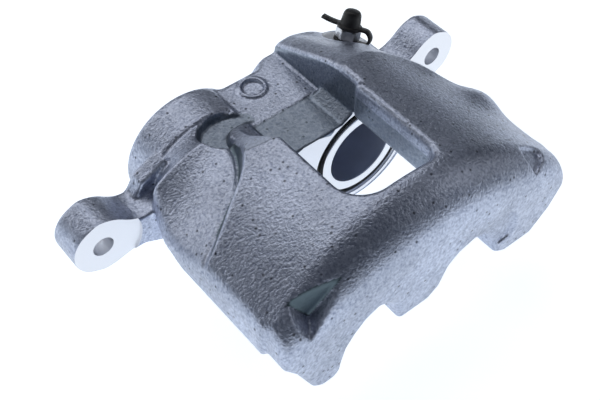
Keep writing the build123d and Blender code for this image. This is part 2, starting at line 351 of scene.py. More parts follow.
def bridge_field(x, y, z):
    """Bridge over the disc, before its top is shaped; lower and solid behind the bore mouths."""
    disc = DISC_RADIUS - np.sqrt(x ** 2 + (z - DISC_CROWN_Z + DISC_RADIUS) ** 2)
    cover = ease((y - front_y) / 5.0) * ease((69 - np.abs(x)) / 5.0)
    disc = disc - BORE_COVER_DEPTH * cover
    shell = meet(disc, outline_distance(x, y, plan_outline()), 2.0)
    return np.maximum(shell, leg_inner_y - 6 - y)


def window_field(x, y):
    """Window through the bridge, open towards the channel; its right front corner is tighter."""
    window = rounded_slot(x, y, -WINDOW_HALF_WIDTH, WINDOW_HALF_WIDTH, 15.0)
    right = rounded_slot(x, y, 0, WINDOW_HALF_WIDTH, 7.0)
    return np.minimum(window, right)


def rounded_slot(x, y, left, right, corner):
    """Distance to a slot that opens backwards and has a rounded front end."""
    qx = np.abs(x - (left + right) / 2) - (right - left) / 2 + corner
    qy = WINDOW_FRONT_Y + corner - y
    return (np.sqrt(np.maximum(qx, 0) ** 2 + np.maximum(qy, 0) ** 2)
            + np.minimum(np.maximum(qx, qy), 0) - corner)


def block_field(x, y, z):
    """Both barrels and the web between them, as far as the front face before it is milled."""
    body = None
    for side, centre in piston_centre.items():
        shift = BARREL_OFFSET if side == "right" else -BARREL_OFFSET
        radial = np.sqrt((x - centre[0] - shift) ** 2 + (z - piston_z) ** 2) - BARREL_RADIUS
        barrel = meet(radial, y - BARREL_BACK_Y, 2.5)
        body = barrel if body is None else join(body, barrel, 4.0)
    half = piston_centre["right"][0]
    web = np.maximum(np.maximum(np.abs(x) - half, z - PLATEAU_Z), WEB_BOTTOM_Z - z)
    body = join(body, meet(web, y - WEB_BACK_Y, 2.0), 3.0)
    return np.maximum(body, front_y - MILLING_DEPTH - y)


def facet_field(x, y, skin):
    """Space that lets the left arm's facet meet the barrel in a crease."""
    return np.maximum(np.maximum(-skin, y - CREASE_Y), np.maximum(x + 18, -14 - y))


def cove_field(x, y, z):
    """Scooped hollow between the facet, the S-shaped ridge and the channel."""
    outline = outline_distance(x, y, COVE_OUTLINE)
    return np.maximum(outline - (z - COVE_FLOOR_Z) * 0.25, COVE_FLOOR_Z - z)


def pit_planes(x, y, z):
    """Distances to the three walls of the deep pit; all are negative in its hollow."""
    planes = []
    inner = Vector(PIT_BOTTOM)
    for index in range(3):
        one, two, third = (Vector(PIT_CORNERS[(index + turn) % 3]) for turn in range(3))
        normal = (one - inner).cross(two - inner).normalized()
        if normal.dot(third - inner) > 0:
            normal = -normal
        planes.append((x - inner.x) * normal.x + (y - inner.y) * normal.y
                      + (z - inner.z) * normal.z)
    return planes


def recess_fields(x, y, z, skin):
    """Pit and two shallow recesses that the mould leaves in the outboard leg."""
    walls = pit_planes(x, y, z)
    pit = np.maximum(np.maximum(np.maximum(walls[0], walls[1]), walls[2]), -10 - skin)
    drop = np.maximum(outline_distance(x, y, DROP_OUTLINE), -skin - 1.9)
    round_end = outline_distance(x, z, ROUND_RECESS_OUTLINE)
    return pit, drop, np.maximum(round_end, y - leg_outer_y - 2.6)


def channel_field(x, y, z):
    """Space over the flat web: a step across it and a sloped foot along the right arm."""
    floor = PLATEAU_Z - 0.8 * ease((STEP_Y - y) / 0.8 + 0.5)
    foot = ease((STEP_Y - y) / 1.5) * np.clip((x - 18.5) * 0.62, 0, 4)
    side = np.maximum(CHANNEL_LEFT_X - x, x - CHANNEL_RIGHT_X)
    return np.maximum(np.maximum(side, front_y - 1 - y), floor + foot - z)


def port_field(x, y, z):
    """Low boss of the hose port on the left barrel's back."""
    port = np.sqrt((x - port_centre[0]) ** 2 + (z - port_centre[2]) ** 2) - PORT_BOSS_RADIUS
    return meet(port, np.maximum(y - port_face_y, 24 - y), 1.0)


def ear_field(x, y, z):
    """Both ears, the webs that carry them and the small ribs up to the barrels."""
    body = None
    for side in (-1, 1):
        boss = np.sqrt((x - side * ear_x) ** 2 + z ** 2) - ear_radius - 0.2
        outline = [(side * ear_x, 12), (side * 88, 6.5), (side * 78, 5), (side * 60, 6),
                   (side * 44, -30), (side * 66, -20), (side * 80, -13), (side * ear_x, -12.5)]
        web = outline_distance(x, z, outline)
        slab = np.maximum(-1.2 - y, y - ear_thickness)
        ear = meet(join(boss, web, 6.0), slab, 1.2)
        rib = outline_distance(x, z, [(side * 58, 20), (side * 64.5, 16), (side * 71.5, 12.8),
                                      (side * 77, 4), (side * 58, 0)])
        rib = meet(rib, np.maximum(10 - y, y - 18.5), 0.5)
        ear = join(ear, rib, 1.0)
        body = ear if body is None else np.minimum(body, ear)
    return body


def bleed_boss_field(x, y, z):
    """Boss that carries the bleed screw."""
    dx, dy, dz = x - bleed_seat[0], y - bleed_seat[1], z - bleed_seat[2]
    along = dx * bleed_axis[0] + dy * bleed_axis[1] + dz * bleed_axis[2]
    radial = np.sqrt(np.maximum(dx * dx + dy * dy + dz * dz - along ** 2, 0)) - BLEED_BOSS_RADIUS
    half = BLEED_BOSS_HEIGHT / 2
    return meet(radial, np.abs(along + half) - half, 1.5)


def round_mark_fields(x, y, z):
    """Raised rim and shallow hollow of the round mark on the web."""
    radial = np.sqrt((x - ROUND_MARK[0]) ** 2 + (y - ROUND_MARK[1]) ** 2)
    rim = meet(np.abs(radial - 6.2) - 1.0, z - PLATEAU_Z - 1.0, 0.8)
    return np.maximum(rim, PLATEAU_Z - 2 - z), meet(radial - 5.2, PLATEAU_Z - 1.2 - z, 0.5)


def housing_field(x, y, z, step):
    """The whole casting, before machining."""
    skin = upper_field(x, y, z, step)
    body = join(bridge_field(x, y, z), leg_field(x, y, z), 3.0)
    body = meet(body, skin, 3.5)
    body = remove(body, window_field(x, y), 3.2)
    body = remove(body, channel_field(x, y, z), 3.5)
    block = remove(block_field(x, y, z), facet_field(x, y, skin), 0.8)
    body = join(body, block, 1.2)
    body = remove(body, cove_field(x, y, z), 1.2)
    body = remove(body, channel_field(x, y, z), 0.8)
    for recess in recess_fields(x, y, z, skin):
        body = remove(body, recess, 0.7)
    body = join(body, port_field(x, y, z), 2.0)
    body = join(body, ear_field(x, y, z), 3.0)
    body = join(body, bleed_boss_field(x, y, z), 2.0)
    rim, hollow = round_mark_fields(x, y, z)
    return remove(join(body, rim, 0.8), hollow, 0.6)


# ---- from field to mesh, and machining ----

def finished(made, name):
    """Turns an edit mesh into a mesh and frees it."""
    mesh = bpy.data.meshes.new(name)
    made.to_mesh(mesh)
    made.free()
    return mesh


def field_mesh(name, field, step, low):
    """Turns a sampled field into a mesh in metres."""
    grid = openvdb.FloatGrid(float(step * 3))
    grid.copyFromArray(np.ascontiguousarray(np.clip(field, -3 * step, 3 * step), np.float32))
    points, quads = grid.convertToQuads(0.0)
    points = (points * step + low) * MM
    mesh = bpy.data.meshes.new(name)
    mesh.from_pydata(points.tolist(), [], quads.tolist())
    mesh.validate()
    return mesh


def bar(start, end, radius, sides=160):
    """A closed round tool shape from one point to another, in millimetres."""
    start, end = Vector(start), Vector(end)
    made = bmesh.new()
    axis = end - start
    bmesh.ops.create_cone(made, cap_ends=True, segments=sides, radius1=radius * MM,
                          radius2=radius * MM, depth=axis.length * MM)
    turn = axis.to_track_quat("Z", "Y").to_matrix().to_4x4()
    bmesh.ops.transform(made, matrix=Matrix.Translation((start + end) / 2 * MM) @ turn,
                        verts=made.verts)
    return finished(made, "tool")


def cut(target, cutter_mesh):
    """Machines one closed tool shape out of the target."""
    tool = bpy.data.objects.new("tool", cutter_mesh)
    bpy.context.scene.collection.objects.link(tool)
    step = target.modifiers.new("cut", "BOOLEAN")
    step.operation = "DIFFERENCE"
    step.solver = "MANIFOLD"
    step.material_mode = "TRANSFER"
    step.object = tool
    bpy.context.view_layer.update()
    graph = bpy.context.evaluated_depsgraph_get()
    made = bpy.data.meshes.new_from_object(target.evaluated_get(graph))
    target.modifiers.remove(step)
    old = target.data
    target.data = made
    bpy.data.meshes.remove(old)
    bpy.data.objects.remove(tool)


def mark_painted_shade(mesh):
    """Stores each point's painted shade, darkening channel, window, cove, ridge fold and pit as if in shadow, and
    how much smoother its grain is.
    """
    points = np.empty(len(mesh.vertices) * 3)
    mesh.vertices.foreach_get("co", points)
    x, y, z = (points.reshape(-1, 3) / MM).T
    channel = ((x > CHANNEL_LEFT_X - 0.6) & (x < CHANNEL_RIGHT_X + 0.6) & (y > front_y - 1)
               & (y < STEP_Y) & (z > PLATEAU_Z - 2) & (z < 40))
    wall = (np.abs(x - CHANNEL_RIGHT_X) < 0.7) & (y > STEP_Y) & (z > PLATEAU_Z + 0.5)
    window = ((np.abs(x) < WINDOW_HALF_WIDTH + 0.6) & (y > WINDOW_FRONT_Y - 0.8) & (y < front_y)
              & (z > 10) & (z < 37))
    cove = (outline_distance(x, y, COVE_OUTLINE) < 1.5) & (z < 23) & (z > PLATEAU_Z - 2)
    side = path_side(x, y, RIDGE_PATH)
    ridge = (side > -2.2) & (side < 0.4) & (x < CHANNEL_LEFT_X) & (z > PLATEAU_Z + 3) & (y > -52)
    walls = pit_planes(x, y, z)
    pit = (np.abs(walls[0]) < 0.5) & (walls[1] < 0.3) & (walls[2] < 0.3) & (x < -40) & (y < -85)
    # painted shade: these faces are darkened as if they lay in shadow; the pit gets the full dark colour
    value = CORE_FACE_SHADE * (channel | wall | window | cove) + RIDGE_FOLD_SHADE * ridge + PIT_WALL_SHADE * pit
    value = np.minimum(value, 1.0).astype(np.float32)
    mesh.attributes.new("shade_and_core_skin", "FLOAT", "POINT").data.foreach_set("value", value)


def machining_tools():
    """Closed tool shapes for every machined hole and face, in millimetres."""
    tools = []
    for side in (-1, 1):
        x = side * ear_x
        tools.append(bar((x, -5, 0), (x, 0, 0), SPOTFACE_RADIUS))
        tools.append(bar((x, ear_thickness - 0.6, 0), (x, ear_thickness + 4, 0),
                         SPOTFACE_RADIUS - 3))

    milled_y = front_y - MILLING_DEPTH - 0.3
    middle_z = piston_z - 2
    tools.append(bar((0, milled_y, middle_z), (0, front_y, middle_z), MIDDLE_MILLED_RADIUS))
    for centre in piston_centre.values():
        for start_y, end_y, radius in (
                (milled_y, front_y, MILLED_RADIUS),
                (front_y - 4, piston_back_y + 2.5, piston_radius + 0.05),
                (front_y - 4, boot_groove_end_y, boot_groove_radius),
                (seal_low[1] - 0.1, seal_high[1] + 0.1, (seal_high[0] - seal_low[0]) / 2 + 0.05)):
            tools.append(bar((centre[0], start_y, piston_z), (centre[0], end_y, piston_z), radius))
    for side in (-1, 1):
        x = side * ear_x
        tools.append(bar((x, -6, 0), (x, ear_thickness + 6, 0), ear_hole_radius))
    px, pz = port_centre[0], port_centre[2]
    tools.append(bar((px, port_face_y - port_length, pz), (px, port_face_y + 6, pz), port_radius))
    seat, axis = Vector(bleed_seat), Vector(bleed_axis)
    tools.append(bar(seat, seat + axis * 30, BLEED_SPOTFACE_RADIUS))
    tools.append(bar(seat - axis * 12, seat + axis * 6, BLEED_HOLE_RADIUS))
    return tools


# ---- turned and swept pieces ----

def round_corners(points, radii):
    """Replaces the inner corners of an open profile with small arcs."""
    made = [Vector(points[0])]
    for before, corner, after, radius in zip(points, points[1:], points[2:], radii):
        before, corner, after = Vector(before), Vector(corner), Vector(after)
        one, two = before - corner, after - corner
        reach = min(radius, one.length * 0.45, two.length * 0.45)
        start, end = corner + one.normalized() * reach, corner + two.normalized() * reach
        for step in (0.0, 0.25, 0.5, 0.75, 1.0):
            made.append(start * (1 - step) ** 2 + corner * 2 * step * (1 - step) + end * step ** 2)
    return [tuple(point) for point in made] + [tuple(points[-1])]


def lathe(name, profile, centre, axis, closed=False, outline=None, second_from=None, sides=144):
    """Turned mesh from (radius, height) stations along an axis, in millimetres.

    outline gives the largest radius at an angle. The band that starts at station second_from, and
    all bands after it, take the mesh's second material.
    """
    centre, axis = Vector(centre), Vector(axis).normalized()
    across = axis.orthogonal().normalized()
    other = axis.cross(across)
    made = bmesh.new()
    rings = []
    for radius, height in profile:
        if radius < 1e-6:
            rings.append([made.verts.new((centre + axis * height) * MM)])
            continue
        ring = []
        for step in range(sides):
            angle = 2 * math.pi * step / sides
            reach = min(radius, outline(angle)) if outline else radius
            spoke = across * math.cos(angle) + other * math.sin(angle)
            ring.append(made.verts.new((centre + axis * height + spoke * reach) * MM))
        rings.append(ring)
    pairs = list(zip(rings, rings[1:])) + ([(rings[-1], rings[0])] if closed else [])
    for index, (one, two) in enumerate(pairs):
        for step in range(sides):
            after = (step + 1) % sides
            corners = [one[step % len(one)], one[after % len(one)], two[after % len(two)],
                       two[step % len(two)]]
            face = made.faces.new(list(dict.fromkeys(corners)))
            face.smooth = True
            if second_from and index >= second_from:
                face.material_index = 1
    bmesh.ops.recalc_face_normals(made, faces=made.faces)
    mesh = finished(made, name)
    mesh.set_sharp_from_angle(angle=math.radians(35))
    return mesh


def ribbon(path, width, thickness):
    """Flat strip swept along a path of (reach, height) beside the bleed screw, in millimetres."""
    axis = Vector(bleed_axis)
    reach = Vector(STRAP_DIRECTION)
    reach = (reach - axis * reach.dot(axis)).normalized()
    side = axis.cross(reach)
    bevel = thickness * 0.3
    half, deep = width / 2, thickness / 2
    section = [(half, deep - bevel), (half - bevel, deep), (bevel - half, deep),
               (-half, deep - bevel), (-half, bevel - deep), (bevel - half, -deep),
               (half - bevel, -deep), (half, bevel - deep)]
    corners = [Vector((u, w, 0)) for u, w in path]
    smooth = round_corners(corners, [STRAP_BEND_RADIUS] * len(path))
    made = bmesh.new()
    rings = []
    for index, point in enumerate(smooth):
        before, after = smooth[max(index - 1, 0)], smooth[min(index + 1, len(smooth) - 1)]
        along = (Vector(after) - Vector(before)).normalized()
        normal = Vector((-along[1], along[0], 0))
        ring = []
        for wide, out in section:
            u, w = point[0] + normal[0] * out, point[1] + normal[1] * out
            place = Vector(bleed_seat) + reach * u + axis * w + side * wide
            ring.append(made.verts.new(place * MM))
        rings.append(ring)
    sides = len(section)
    for one, two in zip(rings, rings[1:]):
        for index in range(sides):
            after = (index + 1) % sides
            made.faces.new([one[index], one[after], two[after], two[index]]).smooth = True
    made.faces.new(rings[0])
    made.faces.new(rings[-1][::-1])
    bmesh.ops.recalc_face_normals(made, faces=made.faces)
    return finished(made, "ribbon")


def together(name, *meshes):
    """One mesh from several."""
    made = bmesh.new()
    for mesh in meshes:
        made.from_mesh(mesh)
        bpy.data.meshes.remove(mesh)
    return finished(made, name)


def piston_profile():
    """Half section of a piston: cup, ground rim, boot groove, skirt and chamfered back."""
    start, end, depth = PISTON_GROOVE
    length = piston_back_y - front_y
    points = [(0, PISTON_CUP_DEPTH), (PISTON_CUP_RADIUS, PISTON_CUP_DEPTH), (PISTON_CUP_RADIUS, 0),
              (piston_radius, 0), (piston_radius, start), (piston_radius - depth, start),
              (piston_radius - depth, end), (piston_radius, end), (piston_radius, length),
              (0, length)]
    return round_corners(points, [4.0, 0.7, 0.5, 0.3, 0.4, 0.4, 0.3, 1.5])


def boot_profile():
    """Closed section of a bellows, from the bead in the bore to the lip in the piston groove."""
    back = boot_high[1] - front_y
    front = boot_low[1] - front_y
    outer = boot_groove_radius
    centreline = [(outer - 0.6, back - 0.3), (outer - 0.9, back - 2.4), (outer - 1.6, back - 2.8),
                  (25.3, back - 3.3), (27.5, back - 3.8), (25.3, back - 4.3), (27.4, back - 4.8),
                  (25.6, back - 5.3), (24.2, front + 0.45), (piston_radius - 1.1, front + 0.4)]
    front_side = [(radius, height - BOOT_HALF_THICKNESS) for radius, height in centreline]
    back_side = [(radius, height + BOOT_HALF_THICKNESS) for radius, height in centreline[::-1]]
    return front_side + back_side


# ---- placing pieces ----

def link(name, mesh, body, node):
    """Adds a rigid piece, rides it on its body and hides the frame node it stands for."""
    piece = bpy.data.objects.new(name, mesh)
    bpy.context.scene.collection.objects.link(piece)
    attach(piece, body)
    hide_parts(node)
    return piece


def link_between(name, mesh, node):
    """Adds a piece fixed in world space and hides the frame node it stands for."""
    piece = bpy.data.objects.new(name, mesh)
    bpy.context.scene.collection.objects.link(piece)
    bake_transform(piece)
    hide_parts(node)
    return piece


# ---- materials ----


def linear(hex_colour):
    """sRGB hex to linear RGBA."""
    parts = [int(hex_colour[i:i + 2], 16) / 255 for i in (1, 3, 5)]
    return tuple(c / 12.92 if c <= 0.04045 else ((c + 0.055) / 1.055) ** 2.4 for c in parts) + (1.0,)


def add(tree, kind, settings=None, **links):
    """Adds a node with its settings and links its inputs."""
    node = tree.nodes.new(kind)
    for key, value in (settings or {}).items():
        if isinstance(key, int) or key in node.inputs:
            node.inputs[key].default_value = value
        else:
            setattr(node, key, value)
    for socket, source in links.items():
        tree.links.new(source, node.inputs[socket.replace("_", " ")])
    return node


def new_material(name, base=(0.8, 0.8, 0.8), metallic=0.0, roughness=0.5):
    """A material with its node tree and its main shader."""
    material = bpy.data.materials.new(name)
    material.use_nodes = True
    tree = material.node_tree
    shader = tree.nodes["Principled BSDF"]
    shader.inputs["Base Color"].default_value = (*base[:3], 1)
    shader.inputs["Metallic"].default_value = metallic
    shader.inputs["Roughness"].default_value = roughness
    return material, tree, shader


def ramp(tree, factor, low, low_colour, high, high_colour):
    """A two-stop colour ramp."""
    node = add(tree, "ShaderNodeValToRGB", Fac=factor)
    for stop, place, tone in zip(node.color_ramp.elements, (low, high), (low_colour, high_colour)):
        stop.position = place
        stop.color = (*tone, 1)
    return node


def cast_iron_zinc_plated():
    """Sand-cast iron under thin zinc plating: silver-lavender with fine sand grain and dark pits.

    The grain is 1 to 2 mm wide, coarser than foundry sand, so that the eye reads it at arm's
    length. Recesses and folds marked by a point attribute get painted shade and smoother grain.
    """
    material, tree, shader = new_material("cast_iron_zinc_plated", metallic=0.88, roughness=0.36)
    colours = bpy.context.scene.caliper_colours
    place = add(tree, "ShaderNodeTexCoord").outputs["Object"]
    grain = add(tree, "ShaderNodeTexNoise", {"Scale": 1000.0, "Detail": 2.0}, Vector=place)
    sand = add(tree, "ShaderNodeTexNoise", {"Scale": 620.0, "Detail": 3.0}, Vector=place)
    cloud = add(tree, "ShaderNodeTexNoise", {"Scale": 34.0, "Detail": 4.0}, Vector=place)
    both = add(tree, "ShaderNodeMix", {"data_type": "FLOAT", 0: 0.5})
    tree.links.new(grain.outputs["Fac"], both.inputs[2])
    tree.links.new(sand.outputs["Fac"], both.inputs[3])
    tone = ramp(tree, both.outputs[0], 0.34, colours.casting_dark, 0.62, colours.casting_light)
    haze = add(tree, "ShaderNodeMapRange", {"From Min": 0.3, "From Max": 0.7, "To Min": 0.72},
               Value=cloud.outputs["Fac"])
    pits = add(tree, "ShaderNodeTexVoronoi", {"Scale": 190.0}, Vector=place)
    pit = add(tree, "ShaderNodeMapRange", {"From Min": 0.07, "From Max": 0.16, "To Min": 0.25},
              Value=pits.outputs["Distance"])
    dim = add(tree, "ShaderNodeMath", {"operation": "MULTIPLY"})
    tree.links.new(haze.outputs["Result"], dim.inputs[0])
    tree.links.new(pit.outputs["Result"], dim.inputs[1])
    shade = add(tree, "ShaderNodeMix", {"data_type": "RGBA", "blend_type": "MULTIPLY", 0: 1.0})
    tree.links.new(tone.outputs["Color"], shade.inputs[6])
    tree.links.new(dim.outputs[0], shade.inputs[7])
    # painted shade: a dark colour mixed in where the attribute marks recesses and folds
    shade_and_core = add(tree, "ShaderNodeAttribute", {"attribute_name": "shade_and_core_skin"}).outputs["Fac"]
    mixed = add(tree, "ShaderNodeMix", {"data_type": "RGBA", 7: (*colours.shade_and_core_skin, 1)}, Factor=shade_and_core)
    tree.links.new(shade.outputs[2], mixed.inputs[6])
    tree.links.new(mixed.outputs[2], shader.inputs["Base Color"])
    calm = add(tree, "ShaderNodeMapRange", {"To Min": 0.75, "To Max": 0.3}, Value=shade_and_core)
    bump = add(tree, "ShaderNodeBump", {"Distance": 0.0006}, Height=both.outputs[0],
               Strength=calm.outputs["Result"])
    tree.links.new(bump.outputs["Normal"], shader.inputs["Normal"])
    return material


def machined_iron():
    """Milled and bored iron under zinc: pale, with faint tool marks, nearly white in soft light."""
    colours = bpy.context.scene.caliper_colours
    material, tree, shader = new_material("machined_iron_zinc_plated", colours.machined, 0.9, 0.38)
    place = add(tree, "ShaderNodeTexCoord").outputs["Object"]
    marks = add(tree, "ShaderNodeTexNoise", {"Scale": 900.0, "Detail": 2.0}, Vector=place)
    bump = add(tree, "ShaderNodeBump", {"Strength": 0.12, "Distance": 0.0001},
               Height=marks.outputs["Fac"])
    tree.links.new(bump.outputs["Normal"], shader.inputs["Normal"])
    return material


def chrome_plated_steel():
    """Ground and hard-chromed piston wall and rim: clean, bright, with a soft edge to its glints."""
    chrome = bpy.context.scene.caliper_colours.chrome
    return new_material("chrome_plated_steel", chrome, 1.0, 0.2)[0]


def phosphated_steel():
    """Deep-drawn inside of the piston, phosphated and oiled: dark blue-grey with broad streaks."""
    material, tree, shader = new_material("phosphated_steel", metallic=0.7, roughness=0.42)
    place = add(tree, "ShaderNodeTexCoord").outputs["Object"]
    streaks = add(tree, "ShaderNodeTexNoise", {"Scale": 90.0, "Detail": 3.0}, Vector=place)
    inside = bpy.context.scene.caliper_colours.piston_inside
    tone = ramp(tree, streaks.outputs["Fac"], 0.0, [c * 0.75 for c in inside],
                1.0, [c * 1.2 for c in inside])
    tree.links.new(tone.outputs["Color"], shader.inputs["Base Color"])
    return material


def moulded_rubber():
    """Moulded EPDM rubber of boots, seals, cap and strap: black, satin, a little dusty."""
    colours = bpy.context.scene.caliper_colours
    material, tree, shader = new_material("moulded_epdm_rubber", colours.rubber)
    place = add(tree, "ShaderNodeTexCoord").outputs["Object"]
    dust = add(tree, "ShaderNodeTexNoise", {"Scale": 260.0, "Detail": 3.0}, Vector=place)
    polish = add(tree, "ShaderNodeMapRange", {"To Min": 0.36, "To Max": 0.58},
                 Value=dust.outputs["Fac"])
    tree.links.new(polish.outputs["Result"], shader.inputs["Roughness"])
    shader.inputs["IOR"].default_value = 1.52
    return material


def zinc_plated_steel():
    """Turned or pressed steel under bright zinc: the small silver glints of screw and rings."""
    return new_material("zinc_plated_steel", bpy.context.scene.caliper_colours.zinc, 1.0, 0.3)[0]


# ---- stage ----

def light_table():
    """Opal acrylic sheet lit from below: a plain pale floor that keeps shadows faint."""
    material, _, shader = new_material("opal_light_table", linear("#E8ECF0"), roughness=0.6)
    shader.inputs["Emission Color"].default_value = linear("#F4FAFF")
    shader.inputs["Emission Strength"].default_value = 0.92
    return material


def studio_world():
    """Room light: white below the horizon, a little higher to the front left, and dark overhead."""
    world = bpy.data.worlds.new("studio")
    world.use_nodes = True
    tree = world.node_tree
    place = add(tree, "ShaderNodeTexCoord").outputs["Generated"]
    side = add(tree, "ShaderNodeVectorMath", {"operation": "DOT_PRODUCT", 1: (-0.20, -0.15, -0.97)})
    tree.links.new(place, side.inputs[0])
    reach = add(tree, "ShaderNodeMapRange", {"From Min": -1.0, "From Max": 1.0},
                Value=side.outputs["Value"])
    tone = ramp(tree, reach.outputs["Result"], 0.36, (0.045, 0.05, 0.065), 0.60, (0.95, 1.0, 1.05))
    tree.links.new(tone.outputs["Color"], tree.nodes["Background"].inputs["Color"])
    tree.nodes["Background"].inputs["Strength"].default_value = 1.0
    return world


# ---- settings ----

def colour(name, text, hex_colour):
    """A colour property with an sRGB hex default."""
    return FloatVectorProperty(name=name, description=text, subtype="COLOR", min=0, max=1,
                               default=linear(hex_colour)[:3])


class CastingSettings(bpy.types.PropertyGroup):
    """How finely the casting is built"""
    grid_step: FloatProperty(name="Grid step", description="Spacing of the casting's sample grid",
                             default=0.7 * MM, min=0.4 * MM, unit="LENGTH")
    skin_rounding: IntProperty(name="Skin rounding", description="Passes that round cast edges",
                               default=1, min=0, max=6)


class BleedSettings(bpy.types.PropertyGroup):
    """Sizes of the bleed cap's strap"""
    strap_width: FloatProperty(name="Strap width", description="Width of the cap's strap and tail",
                               default=4.6 * MM, unit="LENGTH")
    strap_thickness: FloatProperty(name="Strap thickness", description="Thickness of the strap",
                                   default=1.4 * MM, unit="LENGTH")


class ColourSettings(bpy.types.PropertyGroup):
    """Colours of every finish"""
    casting_light: colour("Casting, light", "High spots of the cast skin", "#CDD5E8")
    casting_dark: colour("Casting, dark", "Low spots of the cast skin", "#949DB4")
    # painted shade: dark colour laid on recesses, folds and the pit as if they lay in shadow
    shade_and_core_skin: colour("Painted shade, core skin", "Painted shade in recesses and folds", "#55636B")
    machined: colour("Machined iron", "Milled and bored faces", "#E6E8EE")
    chrome: colour("Piston chrome", "Piston wall and rim", "#E2E4E8")
    piston_inside: colour("Piston inside", "Phosphated cup", "#A6ACBC")
    rubber: colour("Rubber", "Boots, seals, cap and strap", "#0C0D10")
    zinc: colour("Zinc", "Bleed screw and retaining rings", "#CDD0D6")


# ---- one operator for each group of pieces ----

class CALIPER_OT_housing(bpy.types.Operator):
    """Cast housing: block, ears, bridge and outboard leg, then its machined holes"""
    bl_idname = "caliper.housing"
    bl_label = "Housing"

    def execute(self, context):
        step = context.scene.caliper_casting.grid_step / MM
        low = housing_low - 4
        counts = np.ceil((housing_high + 4 - low) / step).astype(int)
        x, y, z = (low[i] + step * np.arange(counts[i]) for i in range(3))
        field = housing_field(x[:, None, None], y[None, :, None], z[None, None, :], step)
        field = soften(field, context.scene.caliper_casting.skin_rounding)
        mesh = field_mesh("housing_casting", field, step, low)
        mesh.materials.append(cast_iron_zinc_plated())
        piece = link("housing_casting", mesh, "caliper", "caliper_housing")
        bright = machined_iron()
        for tool in machining_tools():
            tool.materials.append(bright)
            cut(piece, tool)
        mark_painted_shade(piece.data)
        piece.data.shade_smooth()
        piece.data.set_sharp_from_angle(angle=math.radians(40))
        return {"FINISHED"}


class CALIPER_OT_stage(bpy.types.Operator):
    """Pale floor, soft light and camera"""
    bl_idname = "caliper.stage"
    bl_label = "Stage"

    def execute(self, context):
        azimuth, elevation, roll = (math.radians(v) for v in CAMERA_ANGLES)
        back = Vector((math.sin(azimuth) * math.cos(elevation),
                       -math.cos(azimuth) * math.cos(elevation), math.sin(elevation)))
        right = Vector((math.cos(azimuth), math.sin(azimuth), 0))
        up = back.cross(right)
        turned = right * math.cos(roll) + up * math.sin(roll)
        up = up * math.cos(roll) - right * math.sin(roll)
        lens = bpy.data.cameras.new("camera")
        lens.sensor_width = SENSOR_WIDTH_MM
        lens.lens = FOCAL_LENGTH_MM
        lens.clip_start = 0.01
        camera = bpy.data.objects.new("camera", lens)
        place = Matrix.Translation(Vector(CAMERA_AIM) + back * CAMERA_DISTANCE)
        camera.matrix_world = place @ Matrix((turned, up, back)).transposed().to_4x4()
        context.scene.collection.objects.link(camera)
        context.scene.camera = camera

        floor_mesh = bpy.data.meshes.new("floor")
        size = FLOOR_HALF_SIZE
        z = housing_low[2] * MM - FLOOR_GAP
        floor_mesh.from_pydata([(-size, -size, z), (size, -size, z), (size, size, z),
                                (-size, size, z)], [], [(0, 1, 2, 3)])
        floor_mesh.materials.append(light_table())
        floor = bpy.data.objects.new("floor", floor_mesh)
        context.scene.collection.objects.link(floor)

        for name, (place, width, depth, power) in LIGHTS.items():
            light = bpy.data.lights.new(name, "AREA")
            light.shape = "RECTANGLE"
            light.size, light.size_y = width, depth
            light.energy = power
            lamp = bpy.data.objects.new(name, light)
            lamp.location = place
            lamp.rotation_euler = (-lamp.location).to_track_quat("-Z", "Y").to_euler()
            context.scene.collection.objects.link(lamp)
        context.scene.world = studio_world()
        context.scene.view_settings.view_transform = "Standard"
        return {"FINISHED"}


class CALIPER_OT_pistons(bpy.types.Operator):
    """Two hollow chromed pistons"""
    bl_idname = "caliper.pistons"
    bl_label = "Pistons"

    def execute(self, context):
        inside, chrome = phosphated_steel(), chrome_plated_steel()
        profile = piston_profile()
        rim = next(i for i, (radius, height) in enumerate(profile)
                   if radius > piston_radius - 5.2 and height < 0.8)
        for side, centre in piston_centre.items():
            mesh = lathe("piston_cup_" + side, profile, (centre[0], front_y, piston_z), (0, 1, 0),
                         second_from=rim)
            mesh.materials.append(inside)
            mesh.materials.append(chrome)
            link("piston_cup_" + side, mesh, "piston_" + side, "piston_" + side)
        return {"FINISHED"}


class CALIPER_OT_boots(bpy.types.Operator):
    """Bellows that seal each piston, and the pressed rings that hold them"""
    bl_idname = "caliper.boots"
    bl_label = "Dust boots and rings"

    def execute(self, context):
        rubber, zinc = moulded_rubber(), zinc_plated_steel()
        ring_outer = (ring_high[0] - ring_low[0]) / 2
        low, high = ring_low[1] - front_y, ring_high[1] - front_y
        section = [(ring_outer, low + 0.25), (ring_outer, high - 0.15), (ring_outer - 0.15, high),
                   (ring_outer - 0.95, high), (ring_outer - 1.06, high - 0.15),
                   (ring_outer - 1.06, low + 0.3), (ring_outer - 0.8, low),
                   (ring_outer - 0.25, low)]
        for side, centre in piston_centre.items():
            place = (centre[0], front_y, piston_z)
            mesh = lathe("boot_bellows_" + side, boot_profile(), place, (0, 1, 0), closed=True)
            mesh.materials.append(rubber)
            link_between("boot_bellows_" + side, mesh,
                         "dust_boot_" + side)
            mesh = lathe("boot_ring_" + side, section, place, (0, 1, 0), closed=True)
            mesh.materials.append(zinc)
            link("boot_ring_" + side, mesh, "caliper", "boot_retaining_ring_" + side)
        return {"FINISHED"}


